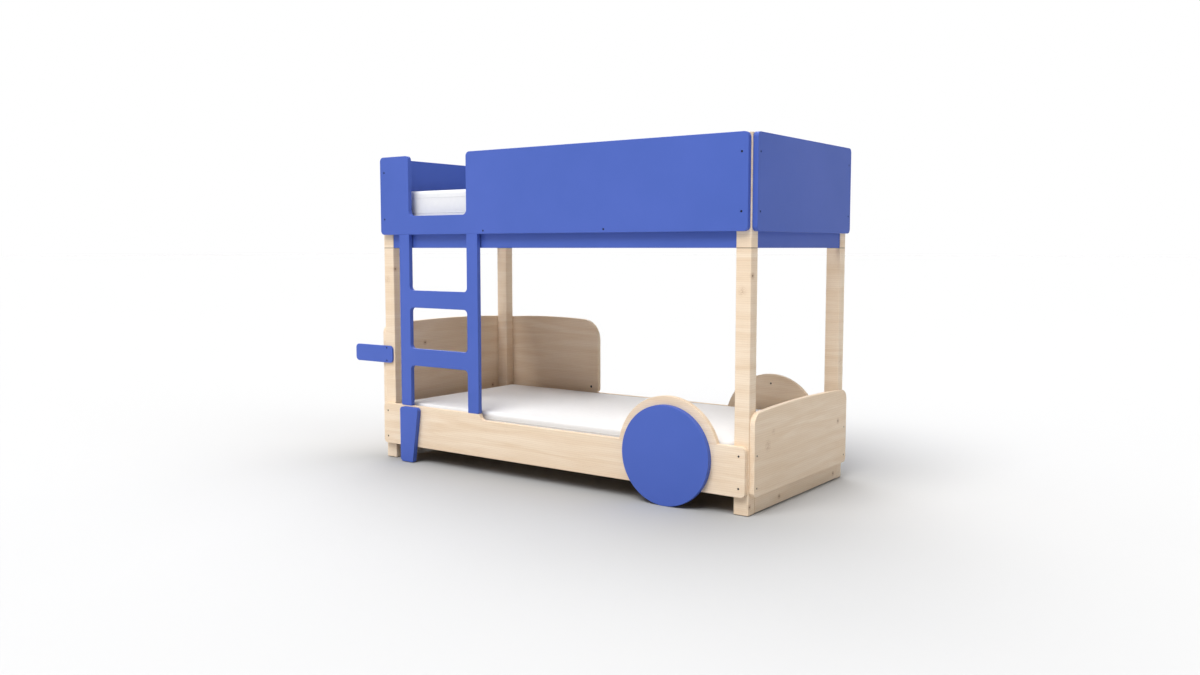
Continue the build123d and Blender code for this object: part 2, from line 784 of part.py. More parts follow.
# Slatted bases and mattresses of both beds
lower_bearer = lower_board_bottom + lower_bearer_lift
upper_bearer = post_seam + upper_bearer_lift
beds = (
    ("lower", lower_bearer, 0.0),
    ("upper", upper_bearer, rail_inner),
)
for bed, bearer_bottom, inside in beds:
    slat_bottom = bearer_bottom + bearer_height
    strap_bottom = slat_bottom + slat_thickness
    for side in ("front", "back"):
        make_bearer(side, inside, bearer_bottom, f"{bed}_bearer_{side}")
    make_slats(frame_depth - 2 * inside - 2 * slat_end_gap, slat_bottom, f"{bed}_slats")
    make_straps(strap_bottom, f"{bed}_slat_straps")
    mattress = make_mattress(strap_bottom + strap_thickness + mattress_lift, f"{bed}_mattress")
    mattress.part.locate(Location((frame_x, 0, 0)))
    save(mattress, f"{bed}_mattress")

# Screws
board_screw = make_screw(board_screw_length)
panel_rail_screw = make_screw(panel_rail_screw_length)
wheel_screw = make_screw(wheel_screw_length)
save(make_group(board_screw, sum(upper_screws.values(), [])), "upper_panel_screws")
save(make_group(panel_rail_screw, sum(rail_screws.values(), [])), "panel_rail_screws")
save(make_group(board_screw, sum(lower_screws.values(), []) + guard_screws), "lower_board_screws")
save(make_group(wheel_screw, sum(wheel_screws.values(), []) + leg_screws), "wheel_and_leg_screws")
save(make_group(make_screw(arm_screw_length), arm_screws), "tow_arm_screws")
save(make_group(make_screw(arm_screw_length), arm_screws), "tow_arm_screws")

# Bed bolts and barrel nuts
with BuildPart() as rail_bolts:
    with Locations(*long_bolts):
        add(make_bolt(long_bolt_length))
    with Locations(*end_bolts):
        add(make_bolt(end_bolt_length))
save(rail_bolts, "rail_bolts")
rail_nut = make_barrel(nut_radius, nut_length, nut_sink, bolt_radius)
save(make_group(rail_nut, sum(long_nuts.values(), []) + sum(end_nuts.values(), [])), "barrel_nuts")

# Dowels in the butt joints of the ladder, the arches and the guard
with BuildPart() as board_dowels:
    rows = [
        (lower_rail_top, ladder_places + back_arch_places + guard_places + front_arch_dowels[lower_rail_top]),
        (upper_panel_bottom, ladder_places),
        (rail_dip, front_arch_dowels[rail_dip]),
    ]
    for seam, places in rows:
        add(round_rod(dowel_radius, seam - dowel_length / 2, seam + dowel_length / 2, places).part)
save(board_dowels, "board_dowels")

# Stud and round lock of the guard
save(round_rod(stud_radius, stud_bottom, stud_top, [stud_place]), "guard_stud")
guard_lock = make_barrel(lock_radius, lock_length, lock_sink, stud_radius)
save(make_group(guard_lock, [spot * Rotation(0, 0, 90) for spot in lock_spot]), "guard_lock")
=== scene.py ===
# %% [markdown]
# # A caravan bunk bed for children
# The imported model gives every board, post, screw and slat its exact shape and place, in metres.
# This lesson dresses it. The boards keep their meshes and get wood and lacquer, the foam mattresses
# are modelled again as soft goods, and a plain studio with a camera shows the bed.

# %% Load the frame
import json

import bpy
import numpy as np
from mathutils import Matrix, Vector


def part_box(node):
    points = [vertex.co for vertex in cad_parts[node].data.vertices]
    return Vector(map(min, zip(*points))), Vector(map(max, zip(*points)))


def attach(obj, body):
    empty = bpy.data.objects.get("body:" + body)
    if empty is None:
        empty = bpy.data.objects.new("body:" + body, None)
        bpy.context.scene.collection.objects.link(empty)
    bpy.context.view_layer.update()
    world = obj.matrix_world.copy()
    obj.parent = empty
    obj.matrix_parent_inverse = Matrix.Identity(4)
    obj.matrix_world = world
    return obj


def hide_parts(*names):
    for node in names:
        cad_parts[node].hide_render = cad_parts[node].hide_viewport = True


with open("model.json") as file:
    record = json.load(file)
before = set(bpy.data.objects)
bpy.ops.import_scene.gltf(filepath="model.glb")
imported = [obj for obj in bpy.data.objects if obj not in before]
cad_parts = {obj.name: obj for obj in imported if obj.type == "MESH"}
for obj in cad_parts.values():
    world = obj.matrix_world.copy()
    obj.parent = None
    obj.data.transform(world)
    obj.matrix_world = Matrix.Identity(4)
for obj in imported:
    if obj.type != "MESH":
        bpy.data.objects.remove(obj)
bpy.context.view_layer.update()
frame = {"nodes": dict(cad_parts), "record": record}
nodes = frame["nodes"]

# %% [markdown]
# ## Colours and nodes
# Colours are picked as sRGB hex values, but a shader works in linear light. One function does
# the change. A second one adds a shader node with its settings and links, so that each material
# below reads as a list of what it is made of. A Mix node that blends colours takes its factor in
# socket 0 and its two colours in sockets 6 and 7, and gives its result in output 2.

# %% Colours


def colour(hex_code):
    """sRGB hex to linear RGBA: each channel is divided by 12.92 where it is dark, and raised to the
    power 2.4 where it is not."""
    srgb = np.array([int(hex_code[i:i + 2], 16) for i in (1, 3, 5)]) / 255
    linear = np.where(srgb <= 0.04045, srgb / 12.92, ((srgb + 0.055) / 1.055) ** 2.4)
    return (*linear.tolist(), 1.0)


print("white in linear light", colour("#FFFFFF"), "and middle grey", colour("#808080"))


# %% One function for every node


def add_node(tree, kind, inputs=None, out=None, **settings):
    """Add a node. settings are its properties. inputs maps its sockets to values, or to the output
    sockets that feed them. Returns the node, or only the output that out names."""
    node = tree.nodes.new("ShaderNode" + kind)
    for name, value in settings.items():
        setattr(node, name, value)
    for socket, value in (inputs or {}).items():
        if isinstance(value, bpy.types.NodeSocket):
            tree.links.new(value, node.inputs[socket])
        else:
            node.inputs[socket].default_value = value
    return node if out is None else node.outputs[out]


def new_material(name, **surface):
    """An empty material with a Principled surface. Returns the material, its tree, its surface
    node and its Object coordinates."""
    material = bpy.data.materials.new(name)
    material.use_nodes = True
    tree = material.node_tree
    tree.nodes.clear()
    shader = add_node(tree, "BsdfPrincipled", surface)
    add_node(tree, "OutputMaterial", {"Surface": shader.outputs["BSDF"]})
    return material, tree, shader, add_node(tree, "TexCoord", out="Object")


# %% [markdown]
# ## Birch under clear matt lacquer
# The frame boards are pale birch. Sawn birch shows long soft bands along the grain, thin growth
# lines 6 to 12 mm apart, fibres finer than a millimetre and a few small pin knots. All of it
# is worked out from Object coordinates, which are metres on the real bed. A Mapping node squeezes
# the pattern along the grain, so a round blotch of noise becomes a long streak. Each board lies
# somewhere else in that space, so no two boards look the same.

# %% Sawn wood


def sawn_wood(name, along, light, middle, dark, ring_mm, ring_strength, knots=(), curls=(), seam=None):
    """Wood with its grain along the axes in along. Knots and curls are (x, y, z, radius) in
    metres. A knot is a small dark heart in a halo, and a curl is grain that bends round one that
    lies under the surface. seam is the height where two pieces meet end to end: the dark line there
    is partly their bare end grain, which has drunk the lacquer, and partly painted shade of the gap."""
    material, tree, shader, place = new_material(
        name, **{"Roughness": 0.5, "IOR": 1.5, "Specular IOR Level": 0.35}
    )
    dark = colour(dark)

    def squeezed(length_mm, width_mm):
        """Object coordinates counted in length_mm along the grain and in width_mm across it."""
        size = [1000 / (length_mm if axis in along else width_mm) for axis in "XYZ"]
        return add_node(tree, "Mapping", {"Vector": place, "Scale": size}, 0, vector_type="POINT")

    def streaks(length_mm, width_mm, **settings):
        """Noise whose blotches are length_mm long and width_mm wide."""
        vector = squeezed(length_mm, width_mm)
        return add_node(tree, "TexNoise", {"Vector": vector, "Scale": 1.0, **settings}, "Fac")

    def share(value, low, high, most, least=0.0):
        """Inputs of a Map Range that gives least at low and most at high."""
        return {"Value": value, "From Min": low, "From Max": high, "To Min": least, "To Max": most}

    # Broad bands of darker wood, and slow clouding over the whole board
    bands = streaks(420, 34, Detail=3.0, Distortion=0.7)
    clouds = streaks(700, 150, Detail=1.0)
    shade = add_node(tree, "MapRange", share(bands, 0.36, 0.70, 0.85), 0)
    base = add_node(tree, "Mix", {0: shade, 6: colour(light), 7: colour(middle)}, 2, data_type="RGBA")
    shade = add_node(tree, "MapRange", share(clouds, 0.4, 0.75, 0.45), 0)
    base = add_node(tree, "Mix", {0: shade, 6: base, 7: colour(middle)}, 2, data_type="RGBA")

    # Growth lines: a wave across the grain, bent by its own noise and made thin by a power
    rings = add_node(tree, "TexWave", {
        "Vector": squeezed(900, ring_mm * 3.18), "Scale": 1.0, "Distortion": 9.0, "Detail": 2.0,
        "Detail Scale": 0.35, "Detail Roughness": 0.55,
    }, "Fac", wave_type="BANDS", bands_direction="Z", wave_profile="SIN")
    thin = add_node(tree, "Math", {0: rings, 1: 3.0}, 0, operation="POWER")
    shade = add_node(tree, "Math", {0: thin, 1: ring_strength}, 0, operation="MULTIPLY")
    base = add_node(tree, "Mix", {0: shade, 6: base, 7: dark}, 2, data_type="RGBA")

    # Short dark flecks, and fibres that change the tone by a few percent
    flecks = streaks(11, 0.9, Detail=1.0)
    shade = add_node(tree, "MapRange", share(flecks, 0.64, 0.78, 0.32), 0)
    base = add_node(tree, "Mix", {0: shade, 6: base, 7: dark}, 2, data_type="RGBA")
    fibres = streaks(60, 1.4, Detail=3.0, Roughness=0.6)
    tone = add_node(tree, "MapRange", share(fibres, 0.0, 1.0, 1.05, 0.94), 0)
    tone = add_node(tree, "CombineColor", {0: tone, 1: tone, 2: tone}, 0)
    base = add_node(tree, "Mix", {0: 1.0, 6: base, 7: tone}, 2, data_type="RGBA", blend_type="MULTIPLY")

    def nearest(marks):
        """Distance to the nearest mark, counted in its own radius, with a ragged rim."""
        least = None
        for x, y, z, radius in marks:
            away = add_node(tree, "VectorMath", {0: place, 1: (x, y, z)}, "Value", operation="DISTANCE")
            ratio = add_node(tree, "Math", {0: away, 1: radius}, 0, operation="DIVIDE")
            if least:
                ratio = add_node(tree, "Math", {0: least, 1: ratio}, 0, operation="MINIMUM")
            least = ratio
        rim = streaks(6, 6, Detail=2.0)
        return add_node(tree, "Math", {0: rim, 1: 0.5, 2: least}, 0, operation="MULTIPLY_ADD")

    if curls:
        # A soft patch that fades out from its middle, broken up into short ragged strokes
        patch = add_node(tree, "MapRange", share(nearest(curls), 0.5, 2.2, 0.0, 0.75), 0)
        strokes = streaks(16, 3.5, Detail=2.0, Distortion=2.0)
        strokes = add_node(tree, "MapRange", share(strokes, 0.45, 0.62, 1.0), 0)
        curl = add_node(tree, "Math", {0: patch, 1: strokes}, 0, operation="MULTIPLY")
        base = add_node(tree, "Mix", {0: curl, 6: base, 7: dark}, 2, data_type="RGBA")
    if knots:
        ratio = nearest(knots)
        halo = add_node(tree, "MapRange", share(ratio, 1.2, 5.0, 0.0, 0.6), 0)
        base = add_node(tree, "Mix", {0: halo, 6: base, 7: dark}, 2, data_type="RGBA")
        heart = add_node(tree, "MapRange", share(ratio, 0.9, 1.35, 0.0, 0.95), 0)
        base = add_node(tree, "Mix", {0: heart, 6: base, 7: colour("#4E321F")}, 2, data_type="RGBA")

    # The dark line at the seam is partly darker end grain and partly painted shade of the gap between the
    # pieces
    if seam:
        height = add_node(tree, "SeparateXYZ", {0: place}, 2)
        past = add_node(tree, "Math", {0: height, 1: seam}, 0, operation="SUBTRACT")
        past = add_node(tree, "Math", {0: past}, 0, operation="ABSOLUTE")
        seam_grain_and_shade = add_node(tree, "MapRange", share(past, 0.0012, 0.0020, 0.0, 0.85), 0)
        base = add_node(tree, "Mix", {0: seam_grain_and_shade, 6: base, 7: colour("#5F5040")}, 2, data_type="RGBA")

    tree.links.new(base, shader.inputs["Base Color"])
    gloss = add_node(tree, "MapRange", share(fibres, 0.0, 1.0, 0.6, 0.45), 0)
    tree.links.new(gloss, shader.inputs["Roughness"])
    relief = add_node(tree, "Bump", {"Height": fibres, "Strength": 0.22, "Distance": 0.0003}, 0)
    tree.links.new(relief, shader.inputs["Normal"])
    return material


# %% [markdown]
# The birch boards share one set of tones. Long boards, end boards and posts differ only in the
# run of their grain and in where their pin knots sit. The posts are sawn from glued board, so
# their figure runs across them.

# %% Birch, pine and beech
BIRCH = {"light": "#F5E2CA", "middle": "#E8CEAF", "dark": "#B8926E", "ring_mm": 9.0, "ring_strength": 0.12}
END_KNOTS = [
    (1.209, 0.371, 0.292, 0.0038), (-0.985, -0.186, 0.591, 0.004), (-1.009, -0.186, 0.591, 0.004),
    (-0.985, 0.368, 0.297, 0.004), (-1.009, 0.368, 0.297, 0.004), (1.185, -0.191, 0.034, 0.0036),
    (1.185, 0.379, 0.035, 0.0036),
]
END_CURLS = [(1.209, -0.350, 0.282, 0.017), (1.209, -0.30, 0.335, 0.010)]
POST_KNOTS = [
    (1.185, -0.459, 0.999, 0.004), (1.185, -0.4625, 0.0385, 0.0036), (-0.915, -0.463, 1.002, 0.0035),
]
POST_CURLS = [
    (1.185, 0.438, 0.568, 0.014), (-0.965, -0.474, 0.944, 0.014), (1.145, -0.474, 0.935, 0.013),
]
POST_SEAM = 1.112
birch_long = sawn_wood("lacquered_birch_long_boards", "X", **BIRCH)
birch_end = sawn_wood("lacquered_birch_end_boards", "Y", **BIRCH, knots=END_KNOTS, curls=END_CURLS)
birch_post = sawn_wood(
    "lacquered_birch_posts", "XY", **BIRCH, knots=POST_KNOTS, curls=POST_CURLS, seam=POST_SEAM
)

PINE = {"light": "#E3C493", "middle": "#D3AC74", "dark": "#A87840", "ring_mm": 7.0, "ring_strength": 0.45}
pine_slats = sawn_wood("planed_pine_slats", "Y", **PINE)
pine_ledgers = sawn_wood("planed_pine_ledgers", "X", **PINE)
beech_dowels = sawn_wood(
    "turned_beech_dowels", "Z", light="#D9B68E", middle="#C79F74", dark="#99703F", ring_mm=4.0,
    ring_strength=0.2,
)
print("wood materials", len(bpy.data.materials))

# %% [markdown]
# ## Blue lacquer
# The caravan's body, wheels, ladder and arm are smooth board under opaque satin lacquer. Sprayed
# lacquer dries with a faint orange peel, a ripple about 2 mm across, and its gloss drifts a
# little over a wide panel. A satin surface scatters most of what it mirrors, so its colour stays
# full and its specular level is half of a gloss paint's.

# %% Satin lacquer


def sprayed_lacquer(name, body, deep):
    """Opaque satin lacquer: a nearly even colour, a soft ripple and a slowly changing gloss."""
    material, tree, shader, place = new_material(
        name, **{"Roughness": 0.5, "IOR": 1.5, "Specular IOR Level": 0.25}
    )
    drift = add_node(tree, "TexNoise", {"Vector": place, "Scale": 3.0, "Detail": 3.0}, "Fac")
    tint = add_node(tree, "MapRange", {"Value": drift, "From Min": 0.3, "From Max": 0.7}, 0)
    paint = add_node(tree, "Mix", {0: tint, 6: colour(body), 7: colour(deep)}, 2, data_type="RGBA")
    gloss = add_node(tree, "MapRange", {"Value": drift, "To Min": 0.45, "To Max": 0.55}, 0)
    peel = add_node(tree, "TexNoise", {
        "Vector": place, "Scale": 420.0, "Detail": 2.0, "Roughness": 0.45,
    }, "Fac")
    relief = add_node(tree, "Bump", {"Height": peel, "Strength": 0.15, "Distance": 0.0004}, 0)
    tree.links.new(paint, shader.inputs["Base Color"])
    tree.links.new(gloss, shader.inputs["Roughness"])
    tree.links.new(relief, shader.inputs["Normal"])
    return material


blue_lacquer = sprayed_lacquer("satin_blue_lacquer", "#4D66BD", "#4963B8")
print("lacquer nodes", len(blue_lacquer.node_tree.nodes))

# %% [markdown]
# ## Fittings
# The screws, bolts and barrel nuts are steel with a black-oxide skin, which keeps a dull metal
# shine. The glides are moulded nylon. The slats hang together on two woven straps, whose ribs
# run across the strap about every 2 mm.

# %% Black steel, nylon and webbing


def black_steel(name):
    """Black-oxide steel: dark metal with a fine tooled scatter in its roughness."""
    material, tree, shader, place = new_material(name, **{"Metallic": 1.0, "Roughness": 0.4})
    tooling = add_node(tree, "TexNoise", {"Vector": place, "Scale": 1500.0, "Detail": 2.0}, "Fac")
    gloss = add_node(tree, "MapRange", {"Value": tooling, "To Min": 0.3, "To Max": 0.55}, 0)
    shades = {0: tooling, 6: colour("#2B2C30"), 7: colour("#45464A")}
    skin = add_node(tree, "Mix", shades, 2, data_type="RGBA")
    tree.links.new(gloss, shader.inputs["Roughness"])
    tree.links.new(skin, shader.inputs["Base Color"])
    return material


def moulded_nylon(name):
    """Natural nylon: even, slightly waxy, with a fine eroded texture from its mould."""
    material, tree, shader, place = new_material(name, **{"Roughness": 0.55, "IOR": 1.53})
    texture = add_node(tree, "TexNoise", {"Vector": place, "Scale": 900.0, "Detail": 3.0}, "Fac")
    shades = {0: texture, 6: colour("#8B8378"), 7: colour("#9A9287")}
    skin = add_node(tree, "Mix", shades, 2, data_type="RGBA")
    relief = add_node(tree, "Bump", {"Height": texture, "Strength": 0.3, "Distance": 0.0002}, 0)
    tree.links.new(skin, shader.inputs["Base Color"])
    tree.links.new(relief, shader.inputs["Normal"])
    return material


def woven_webbing(name):
    """Polyester webbing: ribs about 2 mm apart across the strap."""
    material, tree, shader, place = new_material(
        name, **{"Roughness": 0.85, "Sheen Weight": 0.3, "Sheen Roughness": 0.5}
    )
    ribs = add_node(
        tree, "TexWave", {"Vector": place, "Scale": 157.0, "Distortion": 0.4}, "Fac", bands_direction="X"
    )
    shades = {0: ribs, 6: colour("#6E6E70"), 7: colour("#A4A4A6")}
    yarn = add_node(tree, "Mix", shades, 2, data_type="RGBA")
    relief = add_node(tree, "Bump", {"Height": ribs, "Strength": 0.6, "Distance": 0.0005}, 0)
    tree.links.new(yarn, shader.inputs["Base Color"])
    tree.links.new(relief, shader.inputs["Normal"])
    return material


oxide_steel = black_steel("black_oxide_steel")
nylon = moulded_nylon("moulded_nylon")
webbing = woven_webbing("polyester_webbing")
print("materials so far", len(bpy.data.materials))

# %% [markdown]
# ## Dress the frame
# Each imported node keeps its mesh. Only the material in its slots changes, which is chosen from
# the finish that its record names and from the way its grain runs.

# %% Put the materials on the nodes
BY_SLOT = {
    "blue_lacquer": blue_lacquer,
    "dark_steel": oxide_steel,
    "glide_plastic": nylon,
    "webbing": webbing,
    "slat_wood": pine_slats,
    "plain_wood": pine_ledgers,
}
slot_of = {part["node"]: part["material_slot"] for part in frame["record"]["subparts"]}


def finish_of(node):
    """The material of a node, from its slot. Birch is told apart by the run of its grain."""
    if node == "board_dowels":
        return beech_dowels
    if slot_of[node] != "birch":
        return BY_SLOT.get(slot_of[node])
    if "post" in node:
        return birch_post
    return birch_end if node.endswith("_panel") or node.startswith("plinth") else birch_long


for node, piece in nodes.items():
    finish = finish_of(node)
    if finish:
        for place in piece.material_slots:
            place.material = finish
print("dressed", len(nodes), "nodes")

# %% [markdown]
# ## Mattresses
# A foam mattress in a woven cotton cover is nearly a box, but never quite one. Its top swells in
# the middle, its long sides pull in a little between the corners, its edges are soft, and the
# cover puckers slightly beside the welt that joins top and side. The surface is worked out with
# numpy as a grid for the top, one for the bottom, and rings between them. Cloth under a light
# pressure then settles it, as the foam fills its cover.

# %% Points of the mattress
# In metres: the radius of a corner in plan, of an edge in section, how far the top swells, how
# far a side pulls in, and the spacing of the grid
CORNER = 0.045
EDGE = 0.02
CROWN = 0.005
DRAW_IN = 0.003
STEP = 0.014


def side_run(half):
    """Points along one side as (core, fraction). The core is a straight run between the corners'
    centres, and the fraction grows from 0 to 1 through each corner."""
    straight = half - CORNER
    count = int(round(2 * straight / STEP))
    bend = np.linspace(0, 1, 6)[1:]
    core = np.concatenate([
        np.full(len(bend), -straight), np.linspace(-straight, straight, count + 1),
        np.full(len(bend), straight),
    ])
    fraction = np.concatenate([-bend[::-1], np.zeros(count + 1), bend])
    return core, fraction


def plan_points(core_x, part_x, core_y, part_y, radius):
    """Square corners become quarter discs: a point keeps its direction from the corner's centre,
    and its distance from it is the larger of its two fractions times the radius."""
    length = np.hypot(part_x, part_y)
    larger = np.maximum(np.abs(part_x), np.abs(part_y))
    squeeze = radius * np.divide(larger, length, out=np.zeros_like(length), where=length > 0)
    return core_x + part_x * squeeze, core_y + part_y * squeeze


def mattress_surface(low, high):
    """Vertices and quads of a closed mattress between two corners of its box. The top's height is
    the shoulder plus the crown times one minus the square of x times one minus the square of y,
    where x and y run from -1 to 1. The sides move in by the draw-in times one minus the square
    of the way along them."""
    half_x, half_y = (high[0] - low[0]) / 2, (high[1] - low[1]) / 2
    centre = np.array([(high[0] + low[0]) / 2, (high[1] + low[1]) / 2])
    bottom, shoulder = low[2], high[2] - CROWN
    core_x, part_x = side_run(half_x)
    core_y, part_y = side_run(half_y)
    count_x, count_y = len(core_x), len(core_y)
    grid = [np.repeat(values, count_y) for values in (core_x, part_x)]
    grid += [np.tile(values, count_x) for values in (core_y, part_y)]

    def cap(height):
        x, y = plan_points(*grid, CORNER - EDGE)
        return np.column_stack([x, y, np.full(len(x), height)])

    # The ring of grid points on the rim, in order round the mattress
    i = np.concatenate([
        np.arange(count_x), np.full(count_y - 1, count_x - 1),
        np.arange(count_x - 2, -1, -1), np.zeros(count_y - 2, int),
    ])
    j = np.concatenate([
        np.zeros(count_x, int), np.arange(1, count_y),
        np.full(count_x - 1, count_y - 1), np.arange(count_y - 2, 0, -1),
    ])
    rim = i * count_y + j
    # The side's profile as (inset, height): a quarter round, a straight run and a quarter round
    turn = np.linspace(0, np.pi / 2, 7)
    upper = np.column_stack([EDGE * (1 - np.sin(turn)), shoulder - EDGE * (1 - np.cos(turn))])
    lower = np.column_stack([upper[::-1, 0], bottom + shoulder - upper[::-1, 1]])
    wall = np.linspace(upper[-1, 1], lower[0, 1], 8)[1:-1]
    profile = np.concatenate([upper, np.column_stack([np.zeros(len(wall)), wall]), lower])[1:-1]
    rings = []
    for inset, height in profile:
        x, y = plan_points(core_x[i], part_x[i], core_y[j], part_y[j], CORNER - inset)
        rings.append(np.column_stack([x, y, np.full(len(x), height)]))
    points = np.concatenate([cap(shoulder), cap(bottom)] + rings)

    along_x, along_y = points[:, 0] / half_x, points[:, 1] / half_y
    top = np.arange(len(points)) < len(grid[0])
    hollow_x = (1 - along_y ** 2).clip(0) * DRAW_IN * np.sign(along_x) * along_x ** 8
    hollow_y = (1 - along_x ** 2).clip(0) * DRAW_IN * np.sign(along_y) * along_y ** 8
    points[:, 0] -= hollow_x
    points[:, 1] -= hollow_y
    points[top, 2] += CROWN * ((1 - along_x ** 2) * (1 - along_y ** 2)).clip(0)[top]

    # Each grid cell is a quad, and so is each step between two rings
    a = (np.arange(count_x - 1)[:, None] * count_y + np.arange(count_y - 1)).ravel()
    top_quads = np.column_stack([a, a + count_y, a + count_y + 1, a + 1])
    bottom_quads = top_quads[:, ::-1] + count_x * count_y
    first = 2 * count_x * count_y
    loops = [rim] + [first + k * len(rim) + np.arange(len(rim)) for k in range(len(profile))]
    loops.append(rim + count_x * count_y)
    side_quads = [
        np.column_stack([up, down, np.roll(down, -1), np.roll(up, -1)])
        for up, down in zip(loops, loops[1:])
    ]
    points[:, :2] += centre
    welts = [loops[len(upper)], loops[-1 - len(upper)]]
    return points, np.concatenate([top_quads, bottom_quads] + side_quads), welts


# %% [markdown]
# The cover is not drawn perfectly tight. A few long, shallow waves cross the top, and short
# puckers run across the welt and fade out within a few centimetres of it.

# %% Waves and puckers of the cover
# Length and height of each long wave, in metres
WAVES = ((0.9, 0.0011), (0.55, 0.0008), (0.31, 0.0005), (0.19, 0.0003))
PUCKER_LENGTH = 0.062
PUCKER_HEIGHT = 0.0007
PUCKER_REACH = 0.035


def settle_cover(points, low, high, seed):
    """Lift the top by a sum of four long cosine waves, and by puckers near its rim: a short cosine
    along the rim that fades with the square of the distance from it."""
    random = np.random.default_rng(seed)
    x, y, z = points.T
    top = z > high[2] - CROWN - 1e-4
    lift = np.zeros(len(points))
    for wave_length, height in WAVES:
        turn, phase = random.uniform(0, np.pi), random.uniform(0, 2 * np.pi)
        lift += height * np.cos(2 * np.pi * (x * np.cos(turn) + y * np.sin(turn)) / wave_length + phase)
    from_end, from_side = np.minimum(x - low[0], high[0] - x), np.minimum(y - low[1], high[1] - y)
    edge = np.minimum(from_end, from_side)
    along = np.where(from_end < from_side, y, x)
    # The puckers are not evenly spaced, because a longer cosine shifts them back and forth
    pucker = np.cos(2 * np.pi * along / PUCKER_LENGTH + 3 * np.cos(2 * np.pi * along / 0.37))
    lift += PUCKER_HEIGHT * pucker * np.exp(-((edge - EDGE).clip(0) / PUCKER_REACH) ** 2)
    points[top, 2] += (lift - 0.0015)[top]
    return points


# %% [markdown]
# ### Cloth under pressure
# Blender's Cloth modifier treats the closed surface as a balloon. Gravity is off, the bottom is
# pinned because it lies on the slats, and a soft cap keeps every point within a few
# millimetres of where it started, so the mattress still fits between its rails.

# %% Blow the cover up a little
FRAMES = 20
PRESSURE = 4.0
MOST_MOVE = 0.0035


def fill_cover(piece, pinned, most):
    """Run Cloth with pressure and keep the result. A point that wants to move by d moves by most
    times the hyperbolic tangent of d over most."""
    mesh = piece.data
    start = np.empty(3 * len(mesh.vertices))
    mesh.vertices.foreach_get("co", start)
    start = start.reshape(-1, 3)
    held = piece.vertex_groups.new(name="held")
    held.add(pinned.tolist(), 1.0, "REPLACE")
    cloth = piece.modifiers.new("cloth", "CLOTH")
    cloth.settings.quality = 5
    cloth.settings.mass = 0.3
    cloth.settings.tension_stiffness = 20
    cloth.settings.compression_stiffness = 10
    cloth.settings.bending_stiffness = 0.6
    cloth.settings.use_pressure = True
    cloth.settings.uniform_pressure_force = PRESSURE
    cloth.settings.vertex_group_mass = "held"
    cloth.settings.effector_weights.gravity = 0.0
    cloth.point_cache.frame_end = FRAMES
    scene = bpy.context.scene
    for number in range(1, FRAMES + 1):
        scene.frame_set(number)
    blown = piece.evaluated_get(bpy.context.evaluated_depsgraph_get()).to_mesh()
    end = np.empty(3 * len(blown.vertices))
    blown.vertices.foreach_get("co", end)
    piece.modifiers.remove(cloth)
    piece.vertex_groups.clear()
    scene.frame_set(1)
    move = end.reshape(-1, 3) - start
    far = np.linalg.norm(move, axis=1, keepdims=True)
    move *= most * np.tanh(far / most) / np.maximum(far, 1e-9)
    mesh.vertices.foreach_set("co", (start + move).ravel())
    mesh.update()
    print(piece.name, "largest move in mm", round(float(np.linalg.norm(move, axis=1).max()) * 1000, 2))
    return start + move


# %% Build a mesh from arrays


def add_piece(name, points, quads, material, body):
    """A smooth mesh object that rides on a body."""
    mesh = bpy.data.meshes.new(name)
    mesh.from_pydata(points.tolist(), [], quads.tolist())
    mesh.polygons.foreach_set("use_smooth", np.ones(len(mesh.polygons), bool))
    mesh.materials.append(material)
    piece = bpy.data.objects.new(name, mesh)
    bpy.context.scene.collection.objects.link(piece)
    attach(piece, body)
    return piece


# %% [markdown]
# ### Woven cotton
# The cover is white cotton percale. Its real threads are finer than half a millimetre, too fine
# for any view here, so the weave is drawn about 3 mm wide and very shallow. Two sets of threads
# cross on every side of the mattress, because the pattern multiplies sine waves of X, Y and Z in
# pairs. Slubs, the thicker places in a thread, show as slow changes of tone.

# %% Cotton cover


def woven_cotton(name, thread_mm):
    """White cotton: height is the sum of the products of each pair of sines along X, Y and Z."""
    material, tree, shader, place = new_material(
        name, **{"Roughness": 0.9, "IOR": 1.45, "Sheen Weight": 0.25, "Sheen Roughness": 0.4}
    )
    # A sine turns once in 2 pi, and one turn is one thread's spacing
    per_metre = 2000 * np.pi / thread_mm
    turns = add_node(tree, "VectorMath", {0: place, "Scale": per_metre}, 0, operation="SCALE")
    waves = add_node(tree, "VectorMath", {0: turns}, 0, operation="SINE")
    x, y, z = add_node(tree, "SeparateXYZ", {0: waves}).outputs
    weave = add_node(tree, "Math", {0: x, 1: y}, 0, operation="MULTIPLY")
    for first, second in ((y, z), (x, z)):
        weave = add_node(tree, "Math", {0: first, 1: second, 2: weave}, 0, operation="MULTIPLY_ADD")
    slubs = add_node(tree, "TexNoise", {"Vector": place, "Scale": 45.0, "Detail": 4.0}, "Fac")
    shade = add_node(
        tree, "Math", {0: weave, 1: 0.04, 2: slubs}, 0, operation="MULTIPLY_ADD", use_clamp=True
    )
    shades = {0: shade, 6: colour("#E9E9EA"), 7: colour("#F1F1F1")}
    cloth = add_node(tree, "Mix", shades, 2, data_type="RGBA")
    height = add_node(tree, "Math", {0: weave, 1: 0.3, 2: slubs}, 0, operation="MULTIPLY_ADD")
    relief = add_node(tree, "Bump", {"Height": height, "Strength": 0.2, "Distance": 0.0006}, 0)
    tree.links.new(cloth, shader.inputs["Base Color"])
    tree.links.new(relief, shader.inputs["Normal"])
    return material


cotton = woven_cotton("white_cotton_percale", 3.2)
print("cotton nodes", len(cotton.node_tree.nodes))

# %% [markdown]
# ### The welt
# A cord is sewn into the seam between the top and the side, and another into the seam of the
# bottom. It follows the ring of points that the cloth ended on, so it always lies on the
# cover: a small circle is carried along that closed path.

# %% Sweep a circle round the seam
WELT_RADIUS = 0.0014


